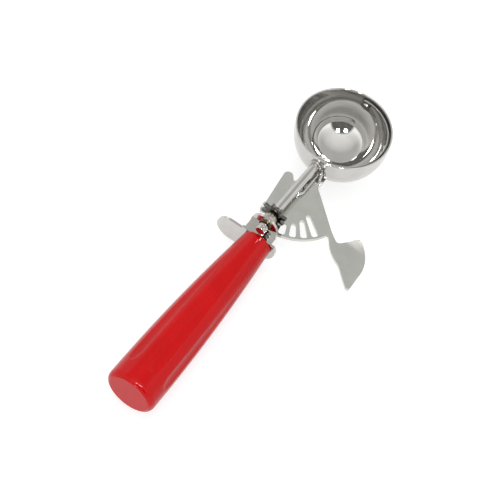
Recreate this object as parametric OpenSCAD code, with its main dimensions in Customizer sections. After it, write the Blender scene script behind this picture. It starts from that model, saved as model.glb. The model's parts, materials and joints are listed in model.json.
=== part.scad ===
// Thumb-press disher: a round bowl on a steel frame, a moulded handle, and a slotted
// thumb lever that turns the scraper band through a small pinion.
// Frame: the origin is the centre of the handle's butt face, +X runs towards the bowl,
// +Y is to the left of someone holding the handle, and +Z is where the bowl opens.

/* [Bowl] */
// Outer diameter of the bowl
bowl_d = 50.8; // [40:0.2:64]
// Thickness of the bowl's sheet
bowl_wall = 0.9; // [0.6:0.1:1.4]
// Height of the straight lip above the scraper's axis
lip_h = 5.2; // [3:0.1:9]

/* [Handle] */
// Length of the moulded handle
handle_len = 107.8; // [80:0.2:140]
// Diameter at the butt shoulder
handle_d = 26.8; // [22:0.2:32]
// Diameter at the front end
neck_d = 15.8; // [14:0.2:18]
// Diameter of the flat butt face
butt_face_d = 23.4; // [18:0.2:24]
// Length of the rounded butt shoulder
shoulder_len = 5; // [3:0.5:8]
// Number of finger flutes round the handle
flutes = 7; // [4:1:9]
// Depth of a flute
flute_depth = 0.6; // [0.3:0.1:1]

/* [Layout] */
// Height of the spindle's axis above the handle's axis
axis_h = 12; // [11:0.1:13]
// Distance from the pivot rivet of the lever to the back of the bowl
pivot_to_bowl = 14.95; // [14:0.05:34]

/* [Frame] */
// Width of the frame bar
bar_w = 9; // [7:0.5:10]
// Thickness of the frame bar
bar_t = 1.8; // [1.2:0.1:2.2]
// Depth of the bar's tang inside the handle
tang_len = 62; // [30:1:76]
// Thickness of the yoke's sheet
yoke_t = 1.4; // [1:0.1:1.6]
// Step of the yoke between the guard and the bearing upright
shelf_len = 2.8; // [2:0.1:4]
// Radius of the arch over the spindle
arch_r = 7.6; // [6:0.1:9]
// Radius of the guard's round end plate
guard_r = 10.5; // [9:0.1:12]
// Reach of the finger tab from the middle plane
tab_reach = 24; // [18:0.5:32]
// Height of the finger tab
tab_h = 15.4; // [10:0.2:18]

/* [Spindle and gear] */
// Diameter of the spindle
spindle_d = 3.2; // [2.6:0.1:3.4]
// Outer diameter of the shank tube
tube_d = 4.7; // [4.4:0.1:6]
// Pitch radius of the pinion
pinion_pitch_r = 6.2; // [5.8:0.1:6.6]
// Height of a pinion tooth outside the pitch circle
tooth_tip = 1; // [0.7:0.1:1.1]
// Number of pinion teeth
pinion_teeth = 8; // [8:1:8]
// Thickness of the pinion
pinion_t = 1.8; // [1.2:0.1:2]

/* [Thumb lever] */
// Angle between neighbouring slots of the sector
slot_step = 12; // [11.5:0.1:13]
// Thickness of the lever's sheet
lever_t = 2; // [1:0.1:2.2]
// Width of the rim outside the slots
sector_rim = 1; // [1:0.1:2]
// Length of the thumb pad
pad_len = 32.1; // [28:0.1:40]
// Radius to which the pad's outer edge is dished up
pad_dish_r = 9; // [7.5:0.5:16]

/* [Scraper] */
// Width of the scraper band
blade_w = 7; // [5:0.2:8]
// Thickness of the scraper band
blade_t = 0.7; // [0.5:0.1:1]
// Gap between the band and the bowl's inside
blade_gap = 0.8; // [0.3:0.1:1.2]

/* [Clearances] */
// Radial clearance of a turning fit
run_fit = 0.06; // [0.03:0.01:0.1]
// Gap between faces that pass each other
pass_gap = 0.3; // [0.2:0.05:0.5]

/* [Hidden] */
$fn = 64;

// Levels of the frame, upwards from the handle's axis.
bar_z = 1.8;
shelf_z = bar_z + bar_t;
shelf_top = shelf_z + yoke_t;

// Stations along the handle, measured from the butt.
guard_x = handle_len;
upright_x = guard_x + yoke_t + shelf_len;
upright_front = upright_x + yoke_t;
hub_len = 5.6;
pinion_x = upright_front + hub_len;
pinion_mid = pinion_x + pinion_t / 2;

// The sector is a crown wheel whose slots are the tooth spaces, so both pitch circles
// advance by one tooth together.
tooth_step = 360 / pinion_teeth;
gear_ratio = tooth_step / slot_step;
sector_pitch_r = pinion_pitch_r * gear_ratio;
pivot_x = pinion_mid + sector_pitch_r;
bowl_r = bowl_d / 2;
bowl_x = pivot_x + pivot_to_bowl + bowl_r;
bowl_in = bowl_r - bowl_wall;

function polar(r, a) = [r * cos(a), r * sin(a)];
function arc(c, r, a0, a1, n) = [for (i = [0:n]) c + polar(r, a0 + (a1 - a0) * i / n)];

// Thumb lever: the pinion's pitch circle reaches this far below the lever's top face.
mesh_depth = 0.6;
lever_top = axis_h - pinion_pitch_r + mesh_depth;
lever_z = lever_top - lever_t;
sector_r = pivot_x - upright_front - pass_gap;
slot_outer_r = sector_r - sector_rim;
slots = 5;
// At rest the first slot stands this far past the middle plane.
slot_rest = 4;
slot_w_out = 3.6;
slot_w_in = 2.7;
slot_corner = 0.8;
// Radius at which each slot ends on the pivot's side: it reaches this far inside the pitch circle.
slot_reach = [1.85, 1.85, 2.85, 5.25, 7.65];
slot_inner_r = [for (reach = slot_reach) sector_pitch_r - reach];
sector_right = 69.8;
// Corners of the lever's plate, measured from its pivot; the ear passes in front of the pinion.
ear_back = [pinion_x + pinion_t + pass_gap + 0.05 - pivot_x, 8.4];
ear_len = 4.4;
ear_front = ear_back + [ear_len, 0.2];
tail_root = [3.3, 4.8];
apex = [10.9, -3.6];
tail_tip = [4, 8.6];
tail_tip_r = 2.6;
rivet_d = 3.6;

// Pad: v runs along the leaf from its neck to its tip, u across it to the outer side.
pad_turn = -39.7;
pad_root = polar(sector_r, 180 + sector_right) + [1.17, -1.66];
// The sheet is flat inside this circle and is dished up outside it.
dish_at = [-10.9, 19.3];
dish_flat_r = 17;
// The neck stays flat up to here, which lies inside the dish's flat circle; the two share a lap.
neck_v = 5.8;
neck_lap = 0.2;

// Shank and bowl joint.
tube_start = pinion_x + pinion_t + 2;
tube_end = bowl_x - bowl_r;
bore_d = spindle_d + 2 * run_fit;
bracket_t = 1.2;
bracket_gap = 0.1;
bracket_r = bowl_r + bracket_gap;
bracket_back = bowl_x - bracket_r - bracket_t;

// Scraper band.
band_out_r = bowl_in - blade_gap;
band_in_r = band_out_r - blade_t;
ear_r = blade_w / 2;

// Return spring.
wire_d = 0.8;
coil_r = 3.5;
coil_z = lever_top + pass_gap + wire_d / 2;
coil_rise = wire_d + 0.05;
// As many whole turns as fit under the tube, and a quarter turn to the fixed leg.
coil_room = axis_h - tube_d / 2 - 0.1 - wire_d / 2 - coil_z;
coil_turns = floor(coil_room / coil_rise - 0.25) + 0.25;
leg_z = coil_z + coil_rise * coil_turns;
// The moving leg drops into this hole of the lever, close behind the coil.
leg_hole = [-coil_r, 3];
leg_hole_d = wire_d + 0.6;
// The fixed leg bears on a post that stands on the frame's crosspiece.
post_d = 1.8;
post_top = axis_h - 1.4;
post_ring_h = 0.9;

// Stands an outline drawn in YZ upright at x, t thick towards the bowl.
module upright_sheet(x, t) translate([x, 0, 0]) rotate([90, 0, 90]) linear_extrude(t) children();

// Cylinder along X from x, centred on height z.
module rod_x(x, len, d, z = axis_h) translate([x, 0, z]) rotate([0, 90, 0]) cylinder(h = len, d = d);

// Turns a profile of [radius, distance along X] points about an axis along X.
module turned_x(x, profile, z = axis_h)
    translate([x, 0, z]) rotate([0, 90, 0]) rotate([0, 0, 180]) rotate_extrude() polygon(profile);

// ---------------------------------------------------------------- handle

handle_r = handle_d / 2;
neck_r = neck_d / 2;
shoulder_drop = handle_r - butt_face_d / 2;
shoulder_r = (shoulder_len * shoulder_len + shoulder_drop * shoulder_drop) / (2 * shoulder_drop);
neck_round = 0.8;
flute_r = 14;
flute_mid = 0.575 * handle_len;
// Turn of the first flute from the top.
flute_turn = 17.4;

// Radius of the handle: full at the shoulder, and drawn in as a parabola to the neck.
function taper(x) = let (t = (x - shoulder_len) / (handle_len - shoulder_len))
    handle_r - (handle_r - neck_r) * t * t;

module handle_profile() {
    n = 20;
    side_len = handle_len - neck_round - shoulder_len;
    shoulder = [for (i = [0:6]) let (x = shoulder_len * i / 6)
        [handle_r - shoulder_r + sqrt(pow(shoulder_r, 2) - pow(shoulder_len - x, 2)), x]];
    side = [for (i = [1:n]) let (x = shoulder_len + side_len * i / n) [taper(x), x]];
    polygon(concat([[0, 0]], shoulder, side, [[neck_r - neck_round, handle_len], [0, handle_len]]));
}

// A flute is a straight round cut along a chord of the bulging side, so it is deepest in the
// middle and runs out softly where the chord meets the side again.
module flute(turn) {
    half = (handle_len - shoulder_len) * sqrt(flute_depth / (handle_r - neck_r));
    low = taper(flute_mid - half);
    high = taper(flute_mid + half);
    rotate([turn, 0, 0]) translate([flute_mid, 0, (low + high) / 2])
        rotate([0, atan((low - high) / (2 * half)), 0]) translate([0, 0, flute_r])
            rotate([0, 90, 0]) cylinder(h = 2 * half + 14, r = flute_r, center = true);
}

module handle() color("crimson") difference() {
    rotate([0, 90, 0]) rotate([0, 0, 180]) rotate_extrude($fn = 96) handle_profile();
    for (i = [0:flutes - 1]) flute(flute_turn + 360 * i / flutes);
    translate([handle_len - tang_len, -bar_w / 2, bar_z]) cube([tang_len + 1, bar_w, bar_t]);
}

// ---------------------------------------------------------------- frame

// The frame bar is the backbone: its rear end is the tang that the handle is moulded on,
// and its front end widens to a crosspiece on the foot of the bowl bracket.
bar_end = bowl_x - sqrt(pow(bracket_r + bracket_t, 2) - pow(axis_h - shelf_z, 2)) - bracket_gap;
cross_w = 13;
cross_len = 4.4;
// The crosspiece's rivets stand behind the bracket's saddle, clear of the post's ring.
cross_rivet_x = bracket_back - 0.494;
cross_rivet_y = coil_r + wire_d / 2 + post_d / 2 + 0.05;

// Upright hole through the bar or its fittings, from below z0 to above z0 + h.
module drill(x, y, z0, h, d) translate([x, y, z0 - 1]) cylinder(h = h + 2, d = d);

module frame_bar() color("silver") difference() {
    union() {
        translate([handle_len - tang_len, -bar_w / 2, bar_z])
            cube([bar_end - handle_len + tang_len, bar_w, bar_t]);
        translate([bar_end - cross_len, -cross_w / 2, bar_z]) cube([cross_len, cross_w, bar_t]);
    }
    drill(pivot_x, 0, bar_z, bar_t, rivet_d);
    drill(rivet_yoke_x, 0, bar_z, bar_t, small_rivet_d);
    for (s = [-1, 1]) drill(cross_rivet_x, s * cross_rivet_y, bar_z, bar_t, small_rivet_d);
}

// The yoke is one stamping in three steps: the guard with its finger tab against the handle,
// a shelf on the bar, and the upright that carries the spindle's bush.
arch_y = 0.5;
arch_z = axis_h - 2.2;
shelf_w = 2 * arch_r + 1;
tab_tip_r = tab_h / 2;
tab_z = -4.2;
small_rivet_d = 1.5;
small_head_h = 0.5;
rivet_yoke_x = upright_x - shelf_len / 2;
bush_d = spindle_d + 2;

// The guard's right corner is cut down beside the shelf, so that the pressed lever passes over it.
module guard_outline() {
    corner_y = arch_y - arch_r - 0.1;
    difference() {
        union() {
            translate([0, -0.6]) circle(r = guard_r);
            translate([tab_reach - tab_tip_r, tab_z]) circle(r = tab_tip_r);
            translate([0, tab_z - tab_tip_r]) square([tab_reach - tab_tip_r, tab_h]);
            translate([0, tab_z]) square([arch_r + 2.4, shelf_top - tab_z]);
        }
        translate([-2 * guard_r, shelf_top]) square([4 * guard_r, 3 * guard_r]);
        translate([corner_y - guard_r, lever_z - pass_gap]) square(guard_r);
    }
}

module upright_outline() {
    arch = arc([arch_y, arch_z], arch_r, 0, 180, 24);
    foot = arch_y - arch_r - 0.1;
    polygon(concat([[foot + shelf_w, shelf_z]], arch, [[foot, shelf_z]]));
}

module bearing_yoke() color("gainsboro") difference() {
    union() {
        upright_sheet(guard_x, yoke_t) guard_outline();
        translate([guard_x, arch_y - arch_r - 0.1, shelf_z])
            cube([upright_front - guard_x, shelf_w, yoke_t]);
        upright_sheet(upright_x, yoke_t) upright_outline();
    }
    translate([guard_x - 1, -bar_w / 2, bar_z]) cube([yoke_t + 2, bar_w, bar_t]);
    rod_x(upright_x - 1, yoke_t + 2, bush_d);
    drill(rivet_yoke_x, 0, shelf_z, yoke_t, small_rivet_d);
}

// Rivet through z0 to z1, with a low domed head at both ends.
module rivet(x, y, z0, z1) {
    r = small_rivet_d / 2;
    head_r = small_rivet_d * 0.8;
    flat_r = head_r * 0.6;
    edge_h = small_head_h * 0.4;
    translate([x, y, 0]) rotate_extrude($fn = 32) polygon([
        [0, z0 - small_head_h], [flat_r, z0 - small_head_h], [head_r, z0 - edge_h], [head_r, z0], [r, z0],
        [r, z1], [head_r, z1], [head_r, z1 + edge_h], [flat_r, z1 + small_head_h], [0, z1 + small_head_h]]);
}

module yoke_rivet() color("darkgray") rivet(rivet_yoke_x, 0, bar_z, shelf_top);

// Flanged bush in the upright, in which the rear of the spindle turns.
bush_flange = 0.7;

module bearing_bush() color("darkgoldenrod") difference() {
    union() {
        rod_x(upright_x - bush_flange, bush_flange, bush_d + 1.2);
        rod_x(upright_x, yoke_t + 0.2, bush_d);
    }
    rod_x(upright_x - bush_flange - 1, yoke_t + bush_flange + 3, bore_d);
}

// ---------------------------------------------------------------- spindle and gear

cap_len = 4.7;
cap_d = 5.2;
cap_x = upright_x - bush_flange - pass_gap - cap_len + 0.7;
spindle_end = bowl_x - band_in_r + 0.8;

module spindle() color("lightgray") rod_x(cap_x + 0.8, spindle_end - cap_x - 0.8, spindle_d);

// Chromed cap on the rear end of the spindle, with a groove near its front.
module spindle_cap() color("whitesmoke") {
    r = cap_d / 2;
    s = spindle_d / 2;
    front = cap_len - 0.7;
    turned_x(cap_x, [[0, 0], [r - 0.2, 0], [r, 0.2], [r, 2], [r - 0.4, 2.2], [r - 0.4, 2.6], [r - 0.1, 2.8],
        [r - 0.1, front], [s, front], [s, 0.8], [0, 0.8]]);
}

// Domed collar that spaces the pinion from the upright.
module hub_collar() color("lightgray") {
    start = upright_front + 0.2 + 0.15;
    len = pinion_x - start;
    r = 3.5;
    s = spindle_d / 2;
    bulge = [for (p = arc([0, len / 2], r, -38, 38, 10)) [p[0], min(max(p[1], 0), len)]];
    turned_x(start, concat([[s, 0]], bulge, [[s, len]]));
}

tooth_root_r = pinion_pitch_r - 1.5;
tooth_tip_r = pinion_pitch_r + tooth_tip;
// Half the tooth's thickness at its root, at the pitch circle and at its tip.
tooth_half = [1.2, 0.95, 0.5];

module tooth() polygon([
    [tooth_root_r - 1, -tooth_half[0]], [tooth_root_r, -tooth_half[0]], [pinion_pitch_r, -tooth_half[1]],
    [tooth_tip_r, -tooth_half[2]], [tooth_tip_r, tooth_half[2]], [pinion_pitch_r, tooth_half[1]],
    [tooth_root_r, tooth_half[0]], [tooth_root_r - 1, tooth_half[0]]]);

key_w = 1;

// The pinion's outline is drawn in YZ, with one tooth turned to meet the first slot.
module pinion() color("gray") difference() {
    upright_sheet(pinion_x, pinion_t) translate([0, axis_h]) difference() {
        union() {
            circle(r = tooth_root_r);
            for (i = [0:pinion_teeth - 1])
                rotate(270 - slot_rest * gear_ratio + i * tooth_step) tooth();
        }
        circle(d = spindle_d);
    }
    key_way();
}

module key_way() translate([pinion_x - 1, -key_w / 2, axis_h]) cube([pinion_t + 2, key_w, spindle_d / 2 + 1]);

module pinion_key() color("dimgray") intersection() {
    difference() {
        key_way();
        rod_x(pinion_x - 2, pinion_t + 4, spindle_d);
    }
    rod_x(pinion_x, pinion_t, spindle_d + 1.6);
}

// ---------------------------------------------------------------- shank and bowl

module shank_tube() color("silver") difference() {
    rod_x(tube_start, tube_end - tube_start, tube_d);
    rod_x(tube_start - 1, tube_end - tube_start + 2, bore_d);
}

far_pin_d = 2.4;

module bowl_solid(r, top) {
    translate([bowl_x, 0, axis_h]) intersection() {
        sphere(r = r, $fn = 128);
        translate([0, 0, -r]) cube(2 * r, center = true);
    }
    translate([bowl_x, 0, axis_h]) cylinder(h = top, r = r, $fn = 128);
}

module bowl() color("silver") difference() {
    bowl_solid(bowl_r, lip_h);
    bowl_solid(bowl_in, lip_h + 1);
    rod_x(bowl_x - bowl_r - 1, bowl_r, bore_d);
    rod_x(bowl_x, bowl_r + 1, far_pin_d);
}

// Saddle brazed to the back of the bowl: it holds the front of the shank tube, and its
// foot lies under the crosspiece of the frame bar.
foot_t = 1.2;
foot_z = bar_z - foot_t;
saddle_top_r = tube_d / 2 + 1;
saddle_depth = 8;
wall_top = axis_h - 3;

module bowl_bracket() color("gainsboro") difference() {
    union() {
        intersection() {
            bowl_solid(bracket_r + bracket_t, saddle_top_r + 1);
            union() {
                translate([bracket_back, -bar_w / 2, foot_z])
                    cube([saddle_depth, bar_w, wall_top - foot_z]);
                translate([bracket_back, -saddle_top_r, foot_z])
                    cube([saddle_depth, 2 * saddle_top_r, axis_h - foot_z]);
                rod_x(bracket_back, saddle_depth, 2 * saddle_top_r);
            }
        }
        translate([bar_end - cross_len, -cross_w / 2, foot_z]) cube([cross_len + 3, cross_w, foot_t]);
    }
    bowl_solid(bracket_r, saddle_top_r + 2);
    rod_x(bracket_back - 1, saddle_depth, tube_d);
    for (s = [-1, 1]) drill(cross_rivet_x, s * cross_rivet_y, foot_z, foot_t, small_rivet_d);
}

module bracket_rivet() color("darkgray") rivet(cross_rivet_x, cross_rivet_y, foot_z, shelf_z);

// Turned post, riveted through the crosspiece on the right: the spring's fixed leg bears on it.
module spring_post() color("whitesmoke") translate([cross_rivet_x, -cross_rivet_y, 0])
    rotate_extrude($fn = 32) {
        r = small_rivet_d / 2;
        polygon([[0, foot_z - small_head_h], [post_d / 2, foot_z - small_head_h], [post_d / 2, foot_z],
            [r, foot_z], [r, shelf_z], [post_d / 2 + 0.5, shelf_z],
            [post_d / 2 + 0.5, shelf_z + post_ring_h], [post_d / 2, shelf_z + post_ring_h],
            [post_d / 2, post_top - 0.4], [post_d / 2 - 0.4, post_top], [0, post_top]]);
    }

// ---------------------------------------------------------------- scraper

// The band is a strip of a sphere, from pole to pole along the right side of the bowl.
module scraper_band() color("silver") translate([bowl_x, 0, axis_h]) difference() {
    intersection() {
        difference() {
            sphere(r = band_out_r, $fn = 128);
            sphere(r = band_in_r, $fn = 128);
        }
        union() {
            translate([-bowl_r, -bowl_r, -blade_w / 2]) cube([bowl_d, bowl_r, blade_w]);
            rotate([0, 90, 0]) cylinder(h = bowl_d, r = ear_r, center = true);
        }
    }
    rod_x(-bowl_r, bowl_r, spindle_d, 0);
    rod_x(0, bowl_r, far_pin_d + 2 * run_fit, 0);
}

// Boss inside the bowl that clamps the band to the end of the spindle.
boss_h = 1.4;

module band_boss() color("darkgray") {
    r = spindle_d / 2 + 1.1;
    start = bowl_x - band_in_r + 0.35;
    turned_x(start, [[spindle_d / 2, 0], [r, 0], [r, boss_h - 0.5], [r - 0.5, boss_h], [0, boss_h],
        [0, spindle_end - start], [spindle_d / 2, spindle_end - start]]);
}

// Pivot pin at the far side, riveted in the bowl's wall, with a washer under its head.
washer_t = 0.4;
head_seat = band_in_r - pass_gap - washer_t - 0.05;

module far_pivot_pin() color("darkgray") {
    out = bowl_r + 0.1;
    r = far_pin_d / 2;
    turned_x(bowl_x, [[0, head_seat - 0.7], [r + 0.4, head_seat - 0.7], [r + 0.8, head_seat - 0.2],
        [r + 0.8, head_seat], [r, head_seat], [r, out], [r + 0.6, out], [r + 0.4, out + 0.5],
        [0, out + 0.7]]);
}

module far_pivot_washer() color("silver") difference() {
    rod_x(bowl_x + head_seat, washer_t, far_pin_d + 1.8);
    rod_x(bowl_x + head_seat - 1, washer_t + 2, far_pin_d);
}

// ---------------------------------------------------------------- thumb lever

// Direction angles in the lever's plane count from +X; the sector lies round -X.
module slot(i) {
    start = slot_inner_r[i] + slot_w_in / 2;
    rotate(180 + slot_rest + i * slot_step) {
        translate([start, 0]) circle(d = slot_w_in);
        polygon([[start, -slot_w_in / 2], [slot_outer_r - slot_corner, -slot_w_out / 2],
            [slot_outer_r, -slot_w_out / 2 + slot_corner], [slot_outer_r, slot_w_out / 2 - slot_corner],
            [slot_outer_r - slot_corner, slot_w_out / 2], [start, slot_w_in / 2]]);
    }
}

// The plate stops at the left where the next slot would begin, which leaves room for a tooth.
module lever_outline() {
    first = 180 + slot_rest - slot_step + atan(slot_w_out / 2 / slot_outer_r);
    notch = polar(slot_inner_r[0] - 0.4, first);
    rim = arc([0, 0], sector_r, first, 180 + sector_right, 60);
    tail = arc(tail_tip, tail_tip_r, -40, 100, 12);
    difference() {
        union() {
            polygon(concat(rim, [apex], [tail_root], tail, [ear_front], [ear_back], [notch]));
            at_pad() intersection() {
                pad_outline();
                translate([-pad_len, -pad_len]) square([2 * pad_len, pad_len + neck_v]);
            }
        }
        for (i = [0:slots - 1]) slot(i);
        circle(d = rivet_d + 2 * run_fit);
        translate(leg_hole) circle(d = leg_hole_d);
    }
}

// Sets a form drawn in u and v at the pad's root in the lever's plane.
module at_pad() translate([pad_root[0], pad_root[1], 0]) rotate(pad_turn) mirror([0, 1, 0]) children();

// The leaf of the thumb pad, seen from above: u to the outer side, v to the tip.
module pad_outline() {
    tip_r = 1.4;
    polygon(concat([[-4.6, -2.5]], arc([16.6, 10], 22.4, 199, 161, 10),
        [[-4.4, 20], [-4.7, pad_len - 6]],
        arc([-3.35, pad_len - tip_r], tip_r, 180, 49, 6),
        arc([-6.5, 12.5], 17.15, 55, -6, 14),
        arc([7.1, 10.1], 3.4, 0, -95, 7),
        [[2.7, 6.3]],
        arc([0.4, 4.2], 1.9, 95, 180, 5),
        [[-2.6, -8]]));
}

// Round sheet that is flat in the middle and turns up beyond as part of a ring.
module dished_sheet() {
    steps = 12;
    open = 62;
    out_r = pad_dish_r + lever_t;
    under = [for (i = [0:steps]) let (a = open * i / steps)
        [dish_flat_r + out_r * sin(a), out_r * (1 - cos(a))]];
    upper = [for (i = [steps:-1:0]) let (a = open * i / steps)
        [dish_flat_r + pad_dish_r * sin(a), lever_t + pad_dish_r * (1 - cos(a))]];
    rotate_extrude($fn = 96) polygon(concat([[0, 0]], under, upper, [[0, lever_t]]));
}

module thumb_pad() at_pad() intersection() {
    translate([dish_at[0], dish_at[1], 0]) dished_sheet();
    translate([0, 0, -1]) linear_extrude(14) difference() {
        pad_outline();
        translate([-pad_len, -pad_len]) square([2 * pad_len, pad_len + neck_v - neck_lap]);
    }
}

// Ear turned up at the sector's left end: the rest stop beside the pinion.
ear_top = axis_h - 2;

module lever_ear() {
    rise = ear_top - lever_z - ear_len / 2;
    translate([ear_back[0] + ear_len / 2, ear_back[1] + 0.1, 0])
        rotate([90, 0, 0]) linear_extrude(lever_t) {
            translate([-ear_len / 2, 0]) square([ear_len, rise]);
            translate([0, rise]) circle(d = ear_len);
        }
}

module thumb_lever() color("lightgray") translate([pivot_x, 0, lever_z]) {
    linear_extrude(lever_t) lever_outline();
    thumb_pad();
    lever_ear();
}

// Pivot rivet: headed under the bar and on the washer, inside the spring's coil.
slip = 0.05;
rivet_washer_t = 0.3;
rivet_seat = lever_top + slip + rivet_washer_t;
rivet_head_r = coil_r - wire_d / 2 - 0.35;

module lever_rivet() color("darkgray") translate([pivot_x, 0, 0]) rotate_extrude($fn = 48) {
    r = rivet_d / 2;
    polygon([[0, bar_z - 1], [r + 0.8, bar_z - 1], [r + 1.4, bar_z - 0.4], [r + 1.4, bar_z], [r, bar_z],
        [r, rivet_seat], [rivet_head_r, rivet_seat], [rivet_head_r, rivet_seat + 0.6],
        [rivet_head_r - 0.6, rivet_seat + 1.1], [0, rivet_seat + 1.3]]);
}

// Loose spacer between the bar and the lever.
module lever_spacer() color("silver") difference() {
    translate([pivot_x, 0, shelf_z]) cylinder(h = lever_z - shelf_z - slip, d = rivet_d + 4);
    drill(pivot_x, 0, shelf_z, lever_z - shelf_z, rivet_d);
}

// Thin washer between the lever and the rivet's head.
module rivet_washer() color("silver") difference() {
    translate([pivot_x, 0, lever_top + slip]) cylinder(h = rivet_washer_t, r = rivet_head_r);
    drill(pivot_x, 0, lever_top, rivet_washer_t, rivet_d);
}

// ---------------------------------------------------------------- return spring

// The wire's route: up from the lever's hole, round the coil, and straight past the post.
spring_steps = 16;
leg_end = cross_rivet_x - pivot_x + post_d / 3;
function coil_point(i) = let (a = 180 + i * 360 / spring_steps)
    [coil_r * cos(a), coil_r * sin(a), coil_z + coil_rise * i / spring_steps];
route = concat(
    [[leg_hole[0], leg_hole[1], lever_z + 0.2], [leg_hole[0], leg_hole[1], coil_z - 0.5],
     [leg_hole[0], leg_hole[1] - 0.2, coil_z - 0.1], [leg_hole[0], leg_hole[1] - 0.7, coil_z]],
    [for (i = [0:spring_steps * coil_turns]) coil_point(i)],
    [[leg_end / 2, -coil_r, leg_z], [leg_end, -coil_r, leg_z]]);

// Rings of n points stand square to the route; each takes its side direction from the radius
// away from the coil's axis, so that the wire doesn't twist.
function unit(v) = v / norm(v);
function along(i) = unit(route[min(i + 1, len(route) - 1)] - route[max(i - 1, 0)]);
function away(i) = let (t = along(i), d = [route[i][0], route[i][1], 0]) unit(cross(cross(t, d), t));
function ring(i, n) = let (t = along(i), s = away(i), u = cross(s, t))
    [for (k = [0:n - 1]) route[i] + wire_d / 2 * (cos(360 * k / n) * s + sin(360 * k / n) * u)];

module swept_wire(n) {
    m = len(route);
    points = [for (i = [0:m - 1]) each ring(i, n)];
    sides = [for (i = [0:m - 2], k = [0:n - 1])
        let (next = (k + 1) % n) [i * n + k, i * n + next, (i + 1) * n + next, (i + 1) * n + k]];
    caps = [[for (k = [n - 1:-1:0]) k], [for (k = [0:n - 1]) (m - 1) * n + k]];
    polyhedron(points, concat(sides, caps), convexity = 6);
}

module return_spring() color("lightsteelblue") translate([pivot_x, 0, 0]) swept_wire(8);

handle();
frame_bar();
bearing_yoke();
yoke_rivet();
bearing_bush();
spindle();
spindle_cap();
hub_collar();
pinion();
pinion_key();
shank_tube();
bowl();
bowl_bracket();
bracket_rivet();
spring_post();
scraper_band();
band_boss();
far_pivot_pin();
far_pivot_washer();
thumb_lever();
lever_rivet();
lever_spacer();
rivet_washer();
return_spring();
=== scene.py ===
import json
import math

import bmesh
import bpy
import numpy as np
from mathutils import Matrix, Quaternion, Vector


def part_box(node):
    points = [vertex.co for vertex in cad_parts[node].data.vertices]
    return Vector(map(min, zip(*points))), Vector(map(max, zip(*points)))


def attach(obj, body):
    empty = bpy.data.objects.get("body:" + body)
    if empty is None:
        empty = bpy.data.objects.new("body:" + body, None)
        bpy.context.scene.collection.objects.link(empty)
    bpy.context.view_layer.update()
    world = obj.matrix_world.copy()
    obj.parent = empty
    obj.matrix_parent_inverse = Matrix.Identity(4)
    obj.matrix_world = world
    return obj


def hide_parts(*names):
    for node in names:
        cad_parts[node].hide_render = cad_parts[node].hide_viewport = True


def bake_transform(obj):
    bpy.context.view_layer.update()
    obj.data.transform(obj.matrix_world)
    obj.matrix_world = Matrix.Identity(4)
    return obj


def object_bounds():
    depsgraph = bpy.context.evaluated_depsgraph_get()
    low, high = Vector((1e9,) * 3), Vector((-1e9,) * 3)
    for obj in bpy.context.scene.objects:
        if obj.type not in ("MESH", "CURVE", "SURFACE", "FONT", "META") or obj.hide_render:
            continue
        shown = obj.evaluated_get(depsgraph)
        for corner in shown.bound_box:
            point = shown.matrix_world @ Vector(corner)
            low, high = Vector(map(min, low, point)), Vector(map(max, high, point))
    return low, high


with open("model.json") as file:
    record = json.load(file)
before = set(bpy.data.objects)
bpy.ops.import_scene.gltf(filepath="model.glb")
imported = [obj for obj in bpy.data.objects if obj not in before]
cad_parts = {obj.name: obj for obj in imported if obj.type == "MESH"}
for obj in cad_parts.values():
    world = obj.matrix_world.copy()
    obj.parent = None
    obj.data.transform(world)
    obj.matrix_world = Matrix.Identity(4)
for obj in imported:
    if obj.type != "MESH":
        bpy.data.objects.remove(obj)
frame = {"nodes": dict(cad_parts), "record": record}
cad_low, cad_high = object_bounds()

# ---------------------------------------------------------------- camera
# A long lens high up behind the butt end, a little to its right and rolled, so that the handle
# runs up from the lower left corner.
camera_at = Vector((-0.3339, -0.1724, 0.7477))
camera_aim = Vector((0.10194, 0.00029, 0.0))
camera_roll = math.radians(15.24)
camera_lens = 127.5
camera_data = bpy.data.cameras.new("camera")
camera_data.sensor_width = 36
camera_data.lens = camera_lens
camera_data.clip_start = 0.01
camera = bpy.data.objects.new("camera", camera_data)
bpy.context.scene.collection.objects.link(camera)
camera.location = camera_at
camera.rotation_mode = "QUATERNION"
camera_turn = (camera_aim - camera_at).to_track_quat("-Z", "Y")
camera.rotation_quaternion = camera_turn @ Quaternion((0, 0, 1), camera_roll)
bpy.context.scene.camera = camera
bpy.context.scene.view_settings.view_transform = "Standard"

# ---------------------------------------------------------------- table
# The scoop lies on a matt white table, on the bottom of its bowl and the wide end of its handle.
# The camera and the polished steel see the table as white, and it still takes the shadow.
table_gap = 0.0001
table_z = cad_low.z - table_gap
table_half = 2.5
table_grey = 0.45
table_lift = 0.69


def node_tree(owner):
    """Empties the node tree of a material or world. Gives the tree and a short maker for its nodes."""
    owner.use_nodes = True
    tree = owner.node_tree
    tree.nodes.clear()

    def node(kind, **inputs):
        made = tree.nodes.new(kind)
        for key, value in inputs.items():
            made.inputs[key.replace("_", " ")].default_value = value
        return made

    return tree, node


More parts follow.
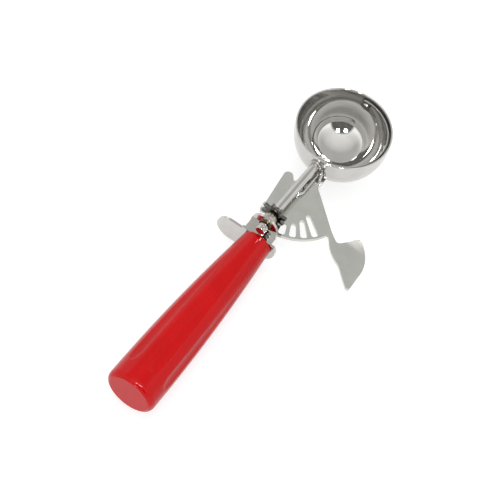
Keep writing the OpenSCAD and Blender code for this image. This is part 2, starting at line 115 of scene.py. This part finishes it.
def table_top():
    """Matt white, with a glow added for the rays of the camera and of what mirrors the table."""
    material = bpy.data.materials.new("table_top")
    tree, node = node_tree(material)
    link = tree.links.new
    matt = node("ShaderNodeBsdfDiffuse", Color=(table_grey, table_grey, table_grey, 1))
    glow = node("ShaderNodeEmission", Color=(1, 1, 1, 1))
    path = node("ShaderNodeLightPath")
    rays = path.outputs["Is Camera Ray"]
    for other in ("Is Glossy Ray", "Is Transmission Ray"):
        either = node("ShaderNodeMath")
        either.operation = "MAXIMUM"
        link(rays, either.inputs[0])
        link(path.outputs[other], either.inputs[1])
        rays = either.outputs[0]
    share = node("ShaderNodeMath")
    share.operation = "MULTIPLY"
    link(rays, share.inputs[0])
    share.inputs[1].default_value = table_lift
    link(share.outputs[0], glow.inputs["Strength"])
    both = node("ShaderNodeAddShader")
    link(matt.outputs[0], both.inputs[0])
    link(glow.outputs[0], both.inputs[1])
    link(both.outputs[0], node("ShaderNodeOutputMaterial").inputs[0])
    return material


table_corners = [(x * table_half, y * table_half, table_z) for x, y in ((-1, -1), (1, -1), (1, 1), (-1, 1))]
table_mesh = bpy.data.meshes.new("table")
table_mesh.from_pydata(table_corners, [], [(0, 1, 2, 3)])
table_mesh.materials.append(table_top())
table = bpy.data.objects.new("table", table_mesh)
bpy.context.scene.collection.objects.link(table)

# ---------------------------------------------------------------- tent and lamps
# A white tent stands round the table. Its cloth is bright at a third of its height and dimmer
# overhead, thin behind the camera, and open at one door. Directions are an azimuth from +X
# towards +Y and a height above the table, both in degrees.
tent_peak = 1.5
tent_bands = ((0.0, 0.95), (0.42, 1.15), (0.54, 1.5), (0.64, 0.95), (0.76, 0.68), (1.0, 0.66))
tent_even = 0.72
cloth_tint = (1, 1, 0.985, 1)
thin_at, thin_reach, thin_gain = (-152, 55), 50, 0.75
door_at, door_reach, door_soft, door_light = (-153, 26), 26, 32, 0.06


def direction(azimuth, height):
    """Unit vector (cos a cos h, sin a cos h, sin h)."""
    a, h = math.radians(azimuth), math.radians(height)
    return Vector((math.cos(a) * math.cos(h), math.sin(a) * math.cos(h), math.sin(h)))


def tent():
    """World. What gloss mirrors is (band of the height's sine + thin patch) * door, matt surfaces get one
    even light, and the camera sees plain white."""
    world = bpy.data.worlds.new("tent")
    bpy.context.scene.world = world
    tree, node = node_tree(world)
    link = tree.links.new
    place = node("ShaderNodeTexCoord")
    split = node("ShaderNodeSeparateXYZ")
    link(place.outputs["Generated"], split.inputs[0])
    bands = node("ShaderNodeValToRGB")
    link(split.outputs["Z"], bands.inputs[0])
    for i, (height, light) in enumerate(tent_bands):
        stop = bands.color_ramp.elements[i] if i < 2 else bands.color_ramp.elements.new(height)
        stop.position = height
        stop.color = (light / tent_peak, light / tent_peak, light / tent_peak, 1)

    def round_patch(middle, inner, outer, inside, beyond):
        """Light that goes from inside to beyond between two angles off the patch's middle, in degrees."""
        near = node("ShaderNodeVectorMath")
        near.operation = "DOT_PRODUCT"
        near.inputs[1].default_value = direction(*middle)
        link(place.outputs["Generated"], near.inputs[0])
        patch = node("ShaderNodeMapRange", From_Min=math.cos(math.radians(outer)),
                     From_Max=math.cos(math.radians(inner)), To_Min=beyond, To_Max=inside)
        link(near.outputs["Value"], patch.inputs["Value"])
        return patch.outputs[0]

    thin = round_patch(thin_at, 0, thin_reach, thin_gain, 0.0)
    door = round_patch(door_at, door_reach, door_soft, door_light, 1.0)
    cloth = node("ShaderNodeMath")
    cloth.operation = "MULTIPLY_ADD"
    link(bands.outputs[0], cloth.inputs[0])
    cloth.inputs[1].default_value = tent_peak
    link(thin, cloth.inputs[2])
    wall = node("ShaderNodeMath")
    wall.operation = "MULTIPLY"
    link(cloth.outputs[0], wall.inputs[0])
    link(door, wall.inputs[1])
    mirrored = node("ShaderNodeBackground", Color=cloth_tint)
    link(wall.outputs[0], mirrored.inputs["Strength"])
    even = node("ShaderNodeBackground", Color=(1, 1, 1, 1), Strength=tent_even)
    white = node("ShaderNodeBackground", Color=(1, 1, 1, 1), Strength=1.0)
    path = node("ShaderNodeLightPath")
    shown = mirrored
    for rays, instead in (("Is Diffuse Ray", even), ("Is Camera Ray", white)):
        choice = node("ShaderNodeMixShader")
        link(path.outputs[rays], choice.inputs[0])
        link(shown.outputs[0], choice.inputs[1])
        link(instead.outputs[0], choice.inputs[2])
        shown = choice
    link(shown.outputs[0], node("ShaderNodeOutputWorld").inputs[0])


def lamp(name, azimuth, height, away, size, power, mirrored):
    """Square lamp in a direction and at a distance from the scoop's middle, turned towards it. A mirrored
    lamp shows in gloss and metal alone; the others give matt surfaces their light and show in nothing."""
    data = bpy.data.lights.new(name, "AREA")
    data.shape = "SQUARE"
    data.size = size
    data.energy = power
    made = bpy.data.objects.new(name, data)
    bpy.context.scene.collection.objects.link(made)
    outwards = direction(azimuth, height)
    made.location = (cad_low + cad_high) / 2 + outwards * away
    made.rotation_mode = "QUATERNION"
    made.rotation_quaternion = (-outwards).to_track_quat("-Z", "Y")
    made.visible_glossy = mirrored
    made.visible_diffuse = not mirrored


tent()
lamp("lamp_left", azimuth=-138, height=51, away=1.4, size=0.17, power=9.0, mirrored=True)
lamp("lamp_right", azimuth=-169, height=47, away=1.4, size=0.17, power=9.0, mirrored=True)
lamp("overhead", azimuth=30, height=75, away=1.6, size=1.0, power=6.5, mirrored=False)
lamp("fill", azimuth=-165, height=22, away=1.6, size=0.8, power=8.0, mirrored=False)

# ---------------------------------------------------------------- handle
# One red plastic moulding on the frame's tang, drawn in towards the front, with seven long
# shallow flutes. Its butt is a flat disc in a rounded shoulder, glossy as it left the mould.
handle_low, handle_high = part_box("handle")
handle_len = handle_high.x - handle_low.x
handle_r = (handle_high.z - handle_low.z) / 2
neck_r = 0.0079
neck_round = 0.0008
shoulder_len = 0.0033
shoulder_drop = 0.0018
face_round = 0.0003
hub_share = 0.96
flutes = 7
flute_turn = math.radians(17.4)
flute_r = 0.014
flute_depth = 0.0007
flute_from, flute_to = 0.0105, 0.087
flute_start = 0.005
flute_edge = 0.00004
dense_to = 0.03
corner_rows, bend_rows, dense_rows, side_rows = 6, 26, 90, 130
steps_per_flute = 40
red_deep, red_bright = (0.52, 0.0008, 0.002, 1), (0.58, 0.0015, 0.003, 1)
red_ior = 1.29
red_rough = (0.1, 0.16)
cloud_size, scuff_size, wave_size = 55.0, 260.0, 110.0
cloud_span, scuff_span = (0.3, 0.7), (0.3, 0.75)
wave_strength, wave_depth = 0.05, 0.0003


def ring_mesh(name, rings):
    """Mesh from an array (rings, steps, 3): quads between neighbouring rings, and each end closed by a fan
    about the middle of its ring. The faces are turned outwards."""
    count, steps, _ = rings.shape
    index = np.arange(count * steps).reshape(count, steps)
    here, there = index[:-1], index[1:]
    quads = np.stack([here, np.roll(here, -1, 1), np.roll(there, -1, 1), there], -1).reshape(-1, 4)
    first, last = count * steps, count * steps + 1
    near_fan = np.stack([np.full(steps, first), np.roll(index[0], -1), index[0]], -1)
    far_fan = np.stack([np.full(steps, last), index[-1], np.roll(index[-1], -1)], -1)
    vertices = np.vstack([rings.reshape(-1, 3), rings[0].mean(0), rings[-1].mean(0)])
    mesh = bpy.data.meshes.new(name)
    mesh.from_pydata(vertices.tolist(), [], quads.tolist() + near_fan.tolist() + far_fan.tolist())
    mesh.shade_smooth()
    turned = bmesh.new()
    turned.from_mesh(mesh)
    bmesh.ops.recalc_face_normals(turned, faces=turned.faces)
    turned.to_mesh(mesh)
    turned.free()
    made = bpy.data.objects.new(name, mesh)
    bpy.context.scene.collection.objects.link(made)
    return made


def taper(x):
    """Radius of the plain grip: full at the shoulder, drawn in as a parabola to the neck."""
    t = (x - shoulder_len) / (handle_len - shoulder_len)
    return handle_r - (handle_r - neck_r) * t * t


def grip_rings():
    """Rings along the axis, each radius the soft minimum of the plain grip and of the grooves. The plain
    grip is a flat face with a small round, a quarter of an ellipse for the shoulder, the taper, and a
    round lip. A groove is a circle of flute_r that dips below the surface. With t from 0 to 1 along it
    and s the distance from its start over flute_start, its depth is
    flute_depth * sqrt(min(s, 1)) * (1 - t * t)."""
    face_r = handle_r - shoulder_drop - face_round
    corner = np.linspace(math.pi / 2, 0, corner_rows)
    corner_x = face_round * (1 - np.sin(corner))
    corner_r = face_r + face_round * np.cos(corner)
    bend = np.linspace(0, 1, bend_rows)[1:]
    bend_x = face_round + (shoulder_len - face_round) * bend
    bend_r = handle_r - shoulder_drop * (1 - np.sqrt(1 - (1 - bend) ** 2))
    side_x = np.concatenate([np.linspace(shoulder_len, dense_to, dense_rows)[1:],
                             np.linspace(dense_to, handle_len - neck_round, side_rows)[1:]])
    lip = np.linspace(0, math.pi / 2, corner_rows)[1:]
    lip_x = handle_len - neck_round + neck_round * np.sin(lip)
    lip_r = taper(handle_len - neck_round) - neck_round * (1 - np.cos(lip))
    x = np.concatenate([[0], corner_x, bend_x, side_x, lip_x])
    plain = np.concatenate([[face_r * hub_share], corner_r, bend_r, taper(side_x), lip_r])

    turn = np.linspace(0, 2 * math.pi, steps_per_flute * flutes, endpoint=False)
    off = (turn - flute_turn + math.pi / flutes) % (2 * math.pi / flutes) - math.pi / flutes
    along = np.clip((x - flute_from) / (flute_to - flute_from), 0, 1)
    start = np.clip((x - flute_from) / flute_start, 0, 1)
    depth = flute_depth * np.sqrt(start) * (1 - along ** 2)
    centre = (plain - depth)[:, None] + flute_r
    reach = flute_r ** 2 - (centre * np.sin(off)) ** 2
    groove = centre * np.cos(off) - np.sqrt(np.maximum(reach, 0))
    groove = np.where((reach > 0) & (depth > 0)[:, None], groove, 1.0)
    plain = np.broadcast_to(plain[:, None], groove.shape)
    radius = -flute_edge * np.logaddexp(-plain / flute_edge, -groove / flute_edge)
    x = np.broadcast_to(x[:, None], radius.shape)
    return np.stack([x, -radius * np.sin(turn), radius * np.cos(turn)], -1)


def moulded_red():
    """Glossy red plastic: a barely uneven colour, soft sink marks from the mould, fine wear in the gloss."""
    material = bpy.data.materials.new("moulded_red")
    tree, node = node_tree(material)
    link = tree.links.new
    plastic = node("ShaderNodeBsdfPrincipled", IOR=red_ior)
    place = node("ShaderNodeTexCoord")
    cloud = node("ShaderNodeTexNoise", Scale=cloud_size, Detail=3.0)
    link(place.outputs["Object"], cloud.inputs["Vector"])
    tint = node("ShaderNodeValToRGB")
    for stop, position, colour in zip(tint.color_ramp.elements, cloud_span, (red_deep, red_bright)):
        stop.position = position
        stop.color = colour
    link(cloud.outputs["Fac"], tint.inputs[0])
    link(tint.outputs[0], plastic.inputs["Base Color"])
    scuff = node("ShaderNodeTexNoise", Scale=scuff_size, Detail=2.0)
    link(place.outputs["Object"], scuff.inputs["Vector"])
    gloss = node("ShaderNodeMapRange", From_Min=scuff_span[0], From_Max=scuff_span[1],
                 To_Min=red_rough[0], To_Max=red_rough[1])
    link(scuff.outputs["Fac"], gloss.inputs["Value"])
    link(gloss.outputs[0], plastic.inputs["Roughness"])
    wave = node("ShaderNodeTexNoise", Scale=wave_size, Detail=0.0)
    link(place.outputs["Object"], wave.inputs["Vector"])
    bump = node("ShaderNodeBump", Strength=wave_strength, Distance=wave_depth)
    link(wave.outputs["Fac"], bump.inputs["Height"])
    link(bump.outputs[0], plastic.inputs["Normal"])
    link(plastic.outputs[0], node("ShaderNodeOutputMaterial").inputs[0])
    return material


grip = ring_mesh("handle_grip", grip_rings())
grip.data.materials.append(moulded_red())
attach(grip, "frame")
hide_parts("handle")

# ---------------------------------------------------------------- frame bar
# The backbone is a flat bar cut from rolled steel sheet, with its tang inside the handle and a
# lug on the right alone. Its edges are broken by tumbling, as those of the next pieces are.
bar_edge = 0.00018
lug_left = 0.00449
rolled = (1, 8, 1)
stain_size = 120.0
stain_share = 0.93
grain_strength = 0.3
stain_span, gloss_span = (0.35, 0.65), (0.7, 1.3)
gloss_spread = (0.7, 1.35)
body_of_node = {n: b for b, nodes in frame["record"]["behaviour"]["bodies"].items() for n in nodes}


def bare_metal(name, base, rough, grain, grain_depth, centre=(0, 0, 0), ring_axis=None,
               stretch=(1, 1, 1), metallic=1.0):
    """Unpainted metal. Its grain is a fine noise: on turned work over the distance from an axis and the
    place along it, on rolled sheet over the stretched place. Slow stains make colour and gloss a little
    uneven."""
    material = bpy.data.materials.new(name)
    tree, node = node_tree(material)
    link = tree.links.new
    metal = node("ShaderNodeBsdfPrincipled", Metallic=metallic)
    place = node("ShaderNodeTexCoord")
    moved = node("ShaderNodeMapping")
    moved.inputs["Location"].default_value = [-c * s for c, s in zip(centre, stretch)]
    moved.inputs["Scale"].default_value = stretch
    link(place.outputs["Object"], moved.inputs["Vector"])
    pattern = moved.outputs[0]
    if ring_axis is not None:
        flat = node("ShaderNodeVectorMath")
        flat.operation = "MULTIPLY"
        flat.inputs[1].default_value = [0 if i == ring_axis else 1 for i in range(3)]
        link(pattern, flat.inputs[0])
        far = node("ShaderNodeVectorMath")
        far.operation = "LENGTH"
        link(flat.outputs[0], far.inputs[0])
        split = node("ShaderNodeSeparateXYZ")
        link(pattern, split.inputs[0])
        joined = node("ShaderNodeCombineXYZ")
        link(far.outputs["Value"], joined.inputs[0])
        link(split.outputs[ring_axis], joined.inputs[1])
        pattern = joined.outputs[0]
    lines = node("ShaderNodeTexNoise", Scale=grain, Detail=3.0)
    link(pattern, lines.inputs["Vector"])
    stain = node("ShaderNodeTexNoise", Scale=stain_size, Detail=3.0)
    link(place.outputs["Object"], stain.inputs["Vector"])
    tint = node("ShaderNodeValToRGB")
    stained = [c * stain_share for c in base]
    for stop, position, colour in zip(tint.color_ramp.elements, stain_span, (stained, base)):
        stop.position = position
        stop.color = (*colour, 1)
    link(stain.outputs["Fac"], tint.inputs[0])
    link(tint.outputs[0], metal.inputs["Base Color"])
    both = node("ShaderNodeMath")
    both.operation = "ADD"
    link(lines.outputs["Fac"], both.inputs[0])
    link(stain.outputs["Fac"], both.inputs[1])
    gloss = node("ShaderNodeMapRange", From_Min=gloss_span[0], From_Max=gloss_span[1],
                 To_Min=rough * gloss_spread[0], To_Max=rough * gloss_spread[1])
    link(both.outputs[0], gloss.inputs["Value"])
    link(gloss.outputs[0], metal.inputs["Roughness"])
    bump = node("ShaderNodeBump", Strength=grain_strength, Distance=grain_depth)
    link(lines.outputs["Fac"], bump.inputs["Height"])
    link(bump.outputs[0], metal.inputs["Normal"])
    link(metal.outputs[0], node("ShaderNodeOutputMaterial").inputs[0])
    return material


def fitting(node, name, finish, edge, left_limit=None, aside=0.0):
    """A small metal piece: the node's solid with its flat faces joined and every sharp edge rounded to a
    width. It can stand aside by a distance, and be sawn off square at left_limit from the middle plane."""
    same_point, on_the_cut = 2e-6, 1e-6
    flat_angle, sharp_angle = math.radians(0.5), math.radians(32)
    mesh = bpy.data.meshes.new(name)
    work = bmesh.new()
    work.from_mesh(frame["nodes"][node].data)
    bmesh.ops.remove_doubles(work, verts=work.verts, dist=same_point)
    bmesh.ops.translate(work, verts=work.verts, vec=(0, aside, 0))
    if left_limit is not None:
        everything = work.verts[:] + work.edges[:] + work.faces[:]
        cut = bmesh.ops.bisect_plane(work, geom=everything, dist=on_the_cut, plane_co=(0, left_limit, 0),
                                     plane_no=(0, 1, 0), clear_outer=True)
        rim = [e for e in cut["geom_cut"] if isinstance(e, bmesh.types.BMEdge)]
        bmesh.ops.triangle_fill(work, edges=rim, use_beauty=True, use_dissolve=False)
        bmesh.ops.recalc_face_normals(work, faces=work.faces)
    bmesh.ops.dissolve_limit(work, angle_limit=flat_angle, verts=work.verts, edges=work.edges)
    work.to_mesh(mesh)
    work.free()
    mesh.shade_smooth()
    mesh.materials.clear()
    mesh.materials.append(finish)
    made = bpy.data.objects.new(name, mesh)
    bpy.context.scene.collection.objects.link(made)
    bevel = made.modifiers.new("broken_edges", "BEVEL")
    bevel.width = edge
    bevel.segments = 2
    bevel.limit_method = "ANGLE"
    bevel.angle_limit = sharp_angle
    bevel.harden_normals = False
    even = made.modifiers.new("flat_faces", "WEIGHTED_NORMAL")
    even.keep_sharp = True
    even.weight = 80
    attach(made, body_of_node[node])
    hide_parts(node)


plain_sheet = bare_metal("frame_sheet", base=(0.53, 0.52, 0.505), rough=0.16, grain=400,
                         grain_depth=0.00001, stretch=rolled)
fitting("frame_bar", "backbone_bar", plain_sheet, bar_edge, left_limit=lug_left)

# ---------------------------------------------------------------- bearing yoke
# Guard plate, finger tab, shelf and upright are one stamping of sheet, polished before it was
# bent, and a stud rivet holds it on the bar. A brass bush is pressed into the upright, coloured far darker
# than brass as a painted dark reflection.
yoke_edge = 0.00018
yoke_rivet_edge = 0.00006
bush_edge = 0.00008
spindle_low, spindle_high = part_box("spindle")
spindle_line = (0, 0, (spindle_low.z + spindle_high.z) / 2)

polished_sheet = bare_metal("polished_sheet", base=(0.57, 0.56, 0.54), rough=0.07, grain=400,
                            grain_depth=0.000003, stretch=rolled)
# Painted dark reflection: the bush's base colour is far darker than brass.
brass_painted_dark = bare_metal("brass_painted_dark", base=(0.17, 0.12, 0.065), rough=0.2, grain=2500,
                        grain_depth=0.000006, centre=spindle_line, ring_axis=0)
fitting("bearing_yoke", "yoke_stamping", polished_sheet, yoke_edge)
fitting("yoke_rivet", "yoke_stud", plain_sheet, yoke_rivet_edge)
fitting("bearing_bush", "flanged_bush", brass_painted_dark, bush_edge)

# ---------------------------------------------------------------- spindle, cap, collar and tube
# The spindle is ground rod that runs from the upright to the bowl inside a plain tube. A stepped
# cap closes its rear end, and a domed collar of nickelled brass sits before the upright. It has nickel's
# warm tint, and its colour is also darkened as a painted reflection of the dark parts round it.
spindle_edge = 0.0001
tube_edge = 0.0001
cap_edge = 0.00008
collar_edge = 0.00008

bright_turned = bare_metal("bright_turned", base=(0.52, 0.51, 0.49), rough=0.08, grain=2500,
                           grain_depth=0.000006, centre=spindle_line, ring_axis=0)
# Partly nickel's own warm tint, partly painted reflection: the base colour is darker than the other turned
# steel.
nickel_with_painted_reflection = bare_metal("nickel_with_painted_reflection", base=(0.40, 0.375, 0.32), rough=0.09, grain=2500,
                           grain_depth=0.000006, centre=spindle_line, ring_axis=0)
fitting("spindle", "spindle_rod", bright_turned, spindle_edge)
fitting("shank_tube", "shank_sleeve", bright_turned, tube_edge)
fitting("spindle_cap", "rear_cap", bright_turned, cap_edge)
fitting("hub_collar", "domed_collar", nickel_with_painted_reflection, collar_edge)

# ---------------------------------------------------------------- pinion and key
# Eight teeth, and a small key that lets them turn the spindle. Both are coloured a near-black steel,
# far darker than the stainless pieces round them, as painted shade for the gear's shadow and dark
# reflections.
tooth_edge = 0.00012
key_edge = 0.00008

# Painted shade: this near-black base colour stands in for the shadow and dark reflections in the gear.
gear_steel = bare_metal("gear_steel", base=(0.17, 0.165, 0.155), rough=0.2, grain=900, grain_depth=0.00001)
fitting("pinion", "pinion_gear", gear_steel, tooth_edge)
fitting("pinion_key", "gear_key", gear_steel, key_edge)

# ---------------------------------------------------------------- bowl
# Spun from one disc of stainless sheet, a little deeper than a half ball, with a rounded lip,
# and polished until it mirrors. Faint rings of the spinning tool and a fine haze stay in it.
bowl_low, bowl_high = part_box("bowl")
bowl_x = (bowl_low.x + bowl_high.x) / 2
bowl_r = (bowl_high.x - bowl_low.x) / 2
bowl_wall = 0.0009
equator_z = bowl_low.z + bowl_r
rim_z = bowl_high.z
pole_gap = 0.01
arc_rows, wall_rows, lip_rows = 72, 9, 13
bowl_steps = 192


def bowl_profile():
    """Radius and height of the bowl's section as one line from the outer to the inner pole. Outside and
    inside are arcs (r sin a, equator - r cos a) that go on straight up to the lip, which is half a circle
    as thick as the sheet."""
    inner_r = bowl_r - bowl_wall
    middle_r = bowl_r - bowl_wall / 2
    arc = np.linspace(pole_gap, math.pi / 2, arc_rows)
    straight = np.linspace(equator_z, rim_z - bowl_wall / 2, wall_rows)[1:]
    lip = np.linspace(0, math.pi, lip_rows)[1:]
    lip_r = middle_r + bowl_wall / 2 * np.cos(lip)
    lip_z = rim_z - bowl_wall / 2 + bowl_wall / 2 * np.sin(lip)
    down = arc[::-1]
    radius = np.concatenate([bowl_r * np.sin(arc), np.full(straight.size, bowl_r), lip_r,
                             np.full(straight.size - 1, inner_r), inner_r * np.sin(down)])
    height = np.concatenate([equator_z - bowl_r * np.cos(arc), straight, lip_z,
                             straight[-2::-1], equator_z - inner_r * np.cos(down)])
    return radius, height


def bowl_rings():
    """The profile turned about the bowl's upright axis: (x + r cos t, r sin t, z)."""
    radius, height = bowl_profile()
    turn = np.linspace(0, 2 * math.pi, bowl_steps, endpoint=False)
    across = radius[:, None] * np.cos(turn)
    aside = radius[:, None] * np.sin(turn)
    return np.stack([across + bowl_x, aside, np.broadcast_to(height[:, None], across.shape)], -1)


spun_steel = bare_metal("spun_steel", base=(0.57, 0.56, 0.54), rough=0.04, grain=1500,
                        grain_depth=0.00001, centre=(bowl_x, 0, 0), ring_axis=2, metallic=0.87)
bowl_shell = ring_mesh("bowl_shell", bowl_rings())
bowl_shell.data.materials.append(spun_steel)
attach(bowl_shell, "frame")
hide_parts("bowl")

# ---------------------------------------------------------------- bowl saddle and its studs
# A bent saddle on the bowl's back holds tube and bar, sawn off square beside the tube. One rivet
# under the tube fixes it, and the turned stud next to that takes the spring's long leg.
saddle_edge = 0.00015
saddle_left = 0.0034
stud_edge = 0.00006
rivet_aside = -0.0027

fitting("bowl_bracket", "bowl_saddle", bright_turned, saddle_edge, left_limit=saddle_left)
fitting("bracket_rivet", "saddle_rivet", plain_sheet, stud_edge, aside=rivet_aside)
fitting("spring_post", "spring_stud", bright_turned, stud_edge)

# ---------------------------------------------------------------- scraper band
# Half a hoop of spring steel that sweeps the inside of the bowl. Its near end is clamped on the
# spindle by a boss, and its far ear turns on a pin through the bowl's wall, with a washer.
band_edge = 0.00015
boss_edge = 0.00008
pin_edge = 0.00008
pin_washer_edge = 0.00006

fitting("scraper_band", "scraper_blade", bright_turned, band_edge)
fitting("band_boss", "blade_boss", bright_turned, boss_edge)
fitting("far_pivot_pin", "blade_pin", plain_sheet, pin_edge)
fitting("far_pivot_washer", "blade_washer", plain_sheet, pin_washer_edge)

# ---------------------------------------------------------------- thumb lever and its pivot
# One stamping of two millimetre sheet with a satin face: slotted sector, tail, ear and thumb pad.
# It turns on a bright rivet, between a spacer on the bar and a thin washer under the spring.
lever_edge = 0.00018
pivot_edge = 0.00008
spacer_edge = 0.0001
washer_edge = 0.00005

satin_sheet = bare_metal("satin_sheet", base=(0.64, 0.64, 0.60), rough=0.14, grain=400,
                         grain_depth=0.000004, stretch=rolled)
fitting("thumb_lever", "lever_plate", satin_sheet, lever_edge)
fitting("lever_rivet", "pivot_rivet", bright_turned, pivot_edge)
fitting("lever_spacer", "pivot_spacer", plain_sheet, spacer_edge)
fitting("rivet_washer", "thin_washer", plain_sheet, washer_edge)

# ---------------------------------------------------------------- return spring
# Bright hard-drawn wire wound two turns and a quarter round the lever's rivet. One end drops
# into a hole of the lever, the other bears on the post, and the coil twists between them.
lever_low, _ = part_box("thumb_lever")
pivot_low, pivot_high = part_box("lever_rivet")
_, spring_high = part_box("return_spring")
pivot_x = (pivot_low.x + pivot_high.x) / 2
wire_r = 0.0004
wire_sides = 14
coil_r = 0.0035
coil_turns = 2.25
coil_rise = 0.00085
coil_top = spring_high.z - wire_r
coil_bottom = coil_top - coil_rise * coil_turns
lever_hole_y = 0.003
hook_depth = 0.0002
hook_bend = 0.0003
hook_lead = 0.0008
leg_short = 0.0001
leg_end_x = spring_high.x - pivot_x - leg_short
helix_points, route_points = 160, 420
rounding_passes = 6


def spring_route():
    """Line up out of the lever's hole, round the helix (r cos t, r sin t, z rising with t) and straight past
    the post. It is spaced evenly, and its corners are rounded by averaging neighbours."""
    hook = np.array([[-coil_r, lever_hole_y, lever_low.z + hook_depth],
                     [-coil_r, lever_hole_y, coil_bottom - hook_bend],
                     [-coil_r, lever_hole_y - hook_lead, coil_bottom]])
    turn = math.pi + np.linspace(0, 2 * math.pi * coil_turns, helix_points)
    helix = np.stack([coil_r * np.cos(turn), coil_r * np.sin(turn),
                      np.linspace(coil_bottom, coil_top, turn.size)], -1)
    leg = np.array([[leg_end_x, -coil_r, coil_top]])
    corners = np.vstack([hook, helix, leg])
    step = np.linalg.norm(np.diff(corners, axis=0), axis=1)
    far = np.concatenate([[0], np.cumsum(step)])
    even = np.linspace(0, far[-1], route_points)
    line = np.stack([np.interp(even, far, corners[:, i]) for i in range(3)], -1)
    for _ in range(rounding_passes):
        line[1:-1] = (line[:-2] + 2 * line[1:-1] + line[2:]) / 4
    return line + np.array([pivot_x, 0, 0])


def wire_rings(line):
    """Circles of the wire's radius across a line: line + r (out cos t + up sin t), where out points away
    from the coil's axis and square to the line, and up is square to both."""
    ahead = np.gradient(line, axis=0)
    ahead /= np.linalg.norm(ahead, axis=1)[:, None]
    out = line - np.array([pivot_x, 0, 0])
    out[:, 2] = 0
    out -= (out * ahead).sum(1)[:, None] * ahead
    out /= np.linalg.norm(out, axis=1)[:, None]
    up = np.cross(ahead, out)
    turn = np.linspace(0, 2 * math.pi, wire_sides, endpoint=False)
    circle = out[:, None] * np.cos(turn)[None, :, None] + up[:, None] * np.sin(turn)[None, :, None]
    return line[:, None] + wire_r * circle


spring = ring_mesh("spring_wire", wire_rings(spring_route()))
spring.data.materials.append(
    bare_metal("drawn_wire", base=(0.60, 0.59, 0.575), rough=0.12, grain=2000, grain_depth=0.000005))
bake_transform(spring)
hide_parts("return_spring")
